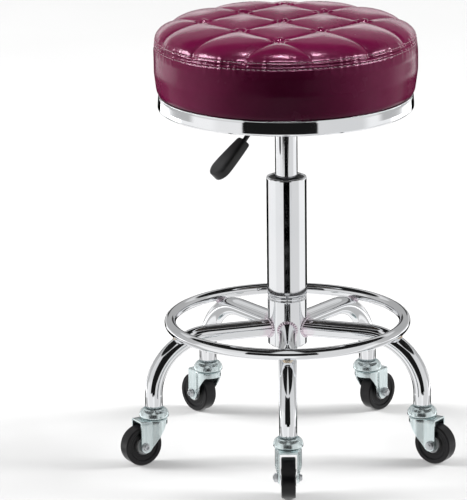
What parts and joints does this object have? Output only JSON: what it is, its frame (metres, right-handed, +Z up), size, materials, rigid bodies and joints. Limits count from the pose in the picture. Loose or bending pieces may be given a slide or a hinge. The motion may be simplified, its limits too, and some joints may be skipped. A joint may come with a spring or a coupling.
{
  "type": "rolling stylist stool",
  "caption": "Round tufted leatherette seat on a gas lift with a side lever, over a chrome star base with a foot ring and swivel casters.",
  "frame": {"origin": "on the floor, under the middle of the base's outline; the column stands 19.5 mm behind it", "axes": "+Z up, -Y towards the leg that points to the front, +X to the right seen from the front"},
  "size_m": [0.4174, 0.4001, 0.553],
  "materials": {
    "leatherette": "gloss",
    "band_chrome": "polished",
    "plywood": "matte",
    "mechanism_steel": "satin",
    "fastener_steel": "satin",
    "lever_steel": "satin",
    "grip_plastic": "satin",
    "tube_chrome": "polished",
    "bush_plastic": "satin",
    "zinc_plate": "satin",
    "tyre_rubber": "matte",
    "wheel_plastic": "satin"
  },
  "bodies": {
    "base": {"column_tube": "tube_chrome", "guide_bush": "bush_plastic", "thrust_bearing": "fastener_steel", "hub_tube": "tube_chrome", "foot_ring": "tube_chrome", "leg_1": "tube_chrome", "leg_2": "tube_chrome", "leg_3": "tube_chrome", "leg_4": "tube_chrome", "leg_5": "tube_chrome", "caster_stem_1": "fastener_steel", "caster_stem_2": "fastener_steel", "caster_stem_3": "fastener_steel", "caster_stem_4": "fastener_steel", "caster_stem_5": "fastener_steel", "swivel_cap_1": "zinc_plate", "swivel_cap_2": "zinc_plate", "swivel_cap_3": "zinc_plate", "swivel_cap_4": "zinc_plate", "swivel_cap_5": "zinc_plate"},
    "spindle": {"piston_rod": "fastener_steel", "retaining_clip": "fastener_steel"},
    "seat": {"seat_cushion": "leatherette", "trim_ring": "band_chrome", "seat_board": "plywood", "seat_plate": "mechanism_steel", "plate_screw_1": "fastener_steel", "plate_screw_2": "fastener_steel", "plate_screw_3": "fastener_steel", "plate_screw_4": "fastener_steel", "lever_pivot_pin": "fastener_steel", "gas_tube": "tube_chrome"},
    "lever": {"lever_rod": "lever_steel", "lever_grip": "grip_plastic"},
    "valve_pin": {"release_button": "fastener_steel"},
    "caster_1": {"fork_1": "zinc_plate", "axle_bolt_1": "fastener_steel", "axle_nut_1": "fastener_steel"},
    "wheel_1": {"tyre_1": "tyre_rubber", "wheel_hub_1": "wheel_plastic"},
    "caster_2": {"fork_2": "zinc_plate", "axle_bolt_2": "fastener_steel", "axle_nut_2": "fastener_steel"},
    "wheel_2": {"tyre_2": "tyre_rubber", "wheel_hub_2": "wheel_plastic"},
    "caster_3": {"fork_3": "zinc_plate", "axle_bolt_3": "fastener_steel", "axle_nut_3": "fastener_steel"},
    "wheel_3": {"tyre_3": "tyre_rubber", "wheel_hub_3": "wheel_plastic"},
    "caster_4": {"fork_4": "zinc_plate", "axle_bolt_4": "fastener_steel", "axle_nut_4": "fastener_steel"},
    "wheel_4": {"tyre_4": "tyre_rubber", "wheel_hub_4": "wheel_plastic"},
    "caster_5": {"fork_5": "zinc_plate", "axle_bolt_5": "fastener_steel", "axle_nut_5": "fastener_steel"},
    "wheel_5": {"tyre_5": "tyre_rubber", "wheel_hub_5": "wheel_plastic"}
  },
  "joints": [
    {"name": "seat_swivel", "type": "hinge", "parent": "base", "child": "spindle", "pos_m": [0, 0.0195, 0.14], "axis": [0, 0, 1], "continuous": true},
    {"name": "seat_lift", "type": "slide", "parent": "spindle", "child": "seat", "axis": [0, 0, 1], "range_m": [-0.054, 0.04]},
    {"name": "lever_tilt", "type": "hinge", "parent": "seat", "child": "lever", "pos_m": [-0.02685, 0.004, 0.4346], "axis": [-0.5, 0.866, 0], "range_deg": [0, 5.5], "stiffness_Nm_per_rad": 0.4},
    {"name": "valve_press", "type": "slide", "parent": "seat", "child": "valve_pin", "axis": [0, 0, 1], "range_m": [-0.0032, 0], "stiffness_N_per_m": 400},
    {"name": "caster_swivel_1", "type": "hinge", "parent": "base", "child": "caster_1", "pos_m": [0, -0.1562, 0.056], "axis": [0, 0, 1], "continuous": true},
    {"name": "wheel_spin_1", "type": "hinge", "parent": "caster_1", "child": "wheel_1", "pos_m": [0, -0.1755, 0.025], "axis": [1, 0, 0], "continuous": true},
    {"name": "caster_swivel_2", "type": "hinge", "parent": "base", "child": "caster_2", "pos_m": [0.1671, -0.03479, 0.056], "axis": [0, 0, 1], "continuous": true},
    {"name": "wheel_spin_2", "type": "hinge", "parent": "caster_2", "child": "wheel_2", "pos_m": [0.18329, -0.04531, 0.025], "axis": [0.5446, 0.8387, 0], "continuous": true},
    {"name": "caster_swivel_3", "type": "hinge", "parent": "base", "child": "caster_3", "pos_m": [0.10327, 0.16164, 0.056], "axis": [0, 0, 1], "continuous": true},
    {"name": "wheel_spin_3", "type": "hinge", "parent": "caster_3", "child": "wheel_3", "pos_m": [0.11668, 0.17553, 0.025], "axis": [-0.7193, 0.6947, 0], "continuous": true},
    {"name": "caster_swivel_4", "type": "hinge", "parent": "base", "child": "caster_4", "pos_m": [-0.10327, 0.16164, 0.056], "axis": [0, 0, 1], "continuous": true},
    {"name": "wheel_spin_4", "type": "hinge", "parent": "caster_4", "child": "wheel_4", "pos_m": [-0.11619, 0.17599, 0.025], "axis": [-0.7431, -0.6691, 0], "continuous": true},
    {"name": "caster_swivel_5", "type": "hinge", "parent": "base", "child": "caster_5", "pos_m": [-0.1671, -0.03479, 0.056], "axis": [0, 0, 1], "continuous": true},
    {"name": "wheel_spin_5", "type": "hinge", "parent": "caster_5", "child": "wheel_5", "pos_m": [-0.18364, -0.04473, 0.025], "axis": [0.515, -0.8572, 0], "continuous": true}
  ],
  "couplings": [
    {"joint": "valve_press", "follows": "lever_tilt", "m_per_rad": -0.031}
  ]
}
